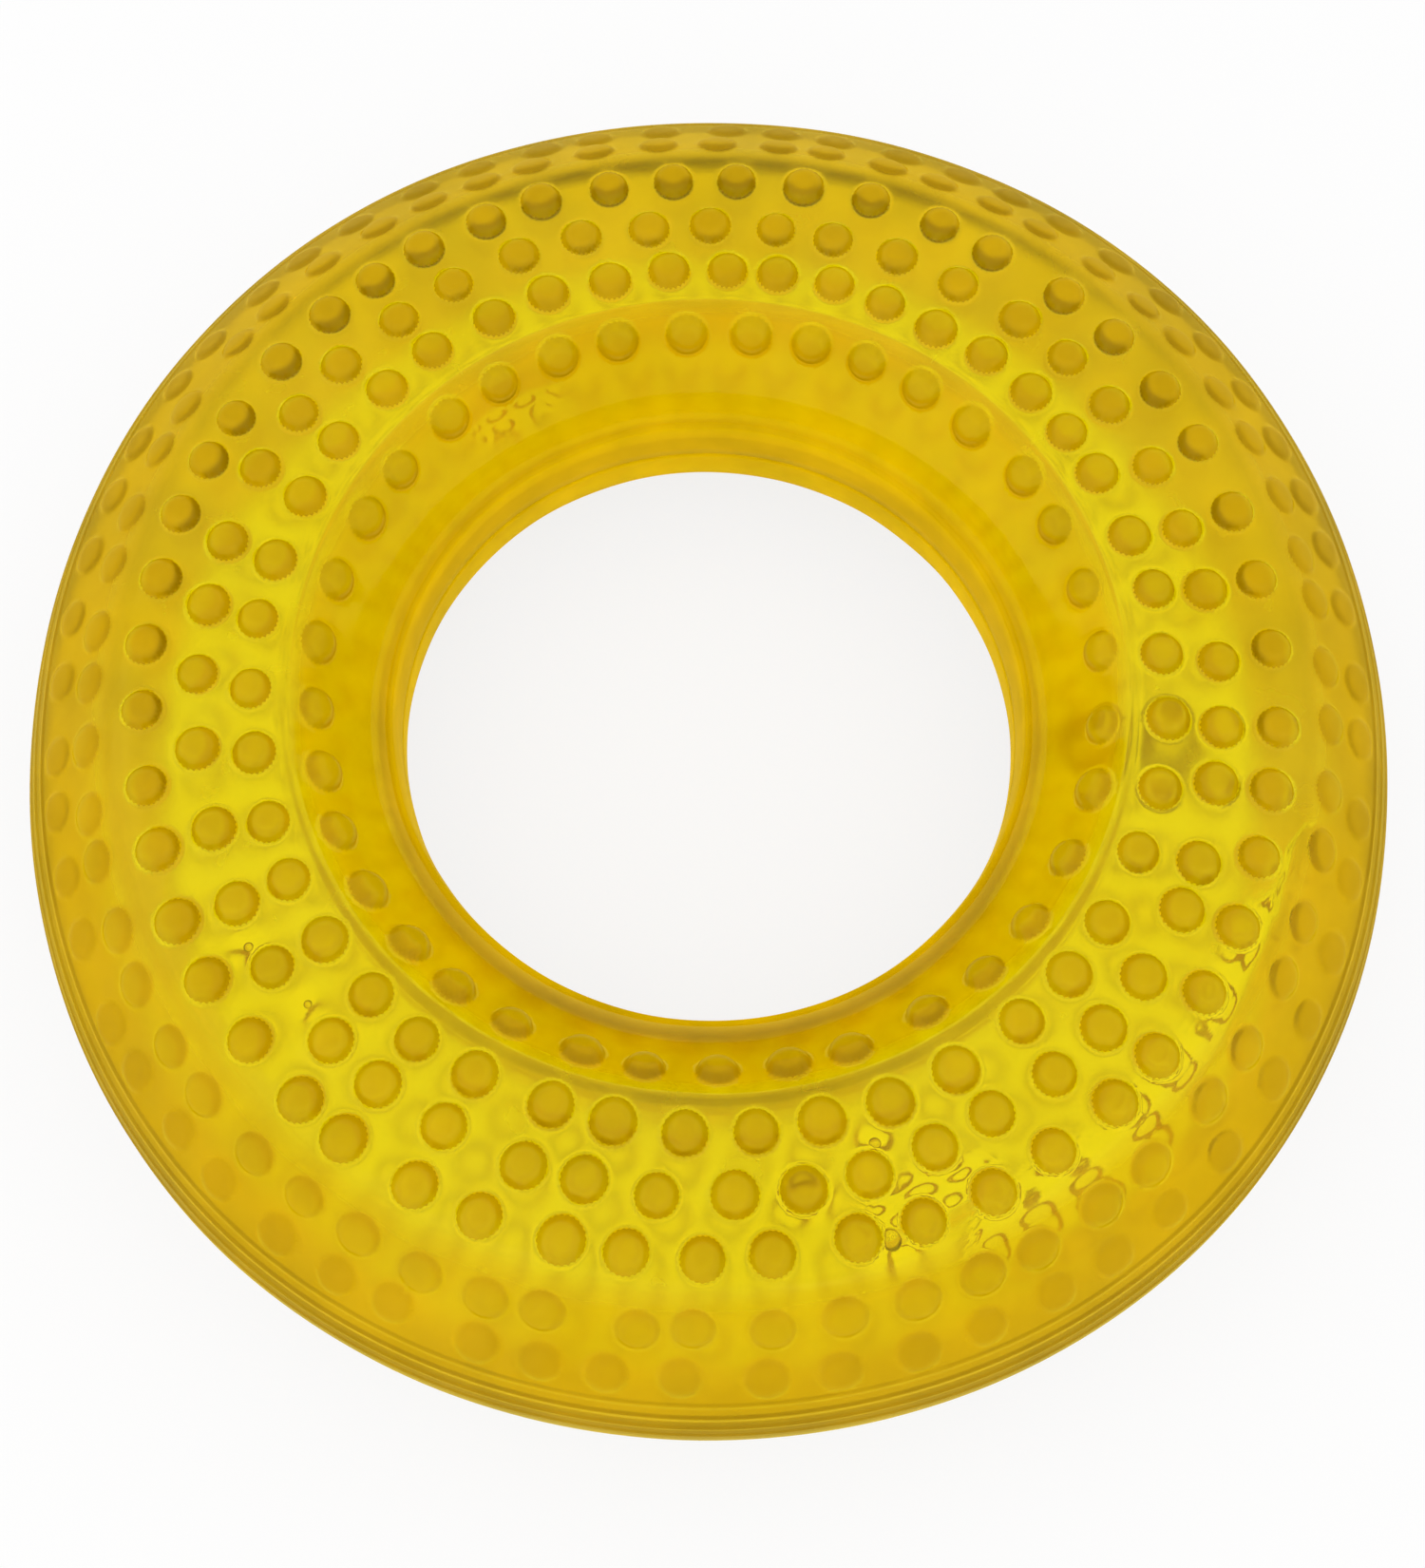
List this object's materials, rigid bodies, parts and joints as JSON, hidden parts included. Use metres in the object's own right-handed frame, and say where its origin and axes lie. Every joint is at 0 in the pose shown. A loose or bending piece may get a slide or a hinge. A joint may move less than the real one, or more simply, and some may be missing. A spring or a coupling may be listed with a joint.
{
  "type": "liquid-filled studded ring",
  "caption": "Soft hollow toy ring with a fat studded tube, welded from two half shells and filled with yellow liquid and trapped air.",
  "frame": {"origin": "the ring's centre, on the seam between the two half shells", "axes": "+Z along the ring's axis, out of the upper shell's flat face; +X towards the filling port in the lower shell"},
  "size_m": [0.086, 0.086, 0.0228],
  "materials": {
    "shell": "gloss, translucent",
    "plug": "satin, translucent",
    "liquid": "clear"
  },
  "bodies": {
    "root": {"upper_shell": "shell", "lower_shell": "shell", "fill_plug": "plug", "liquid_fill": "liquid"}
  },
  "joints": []
}
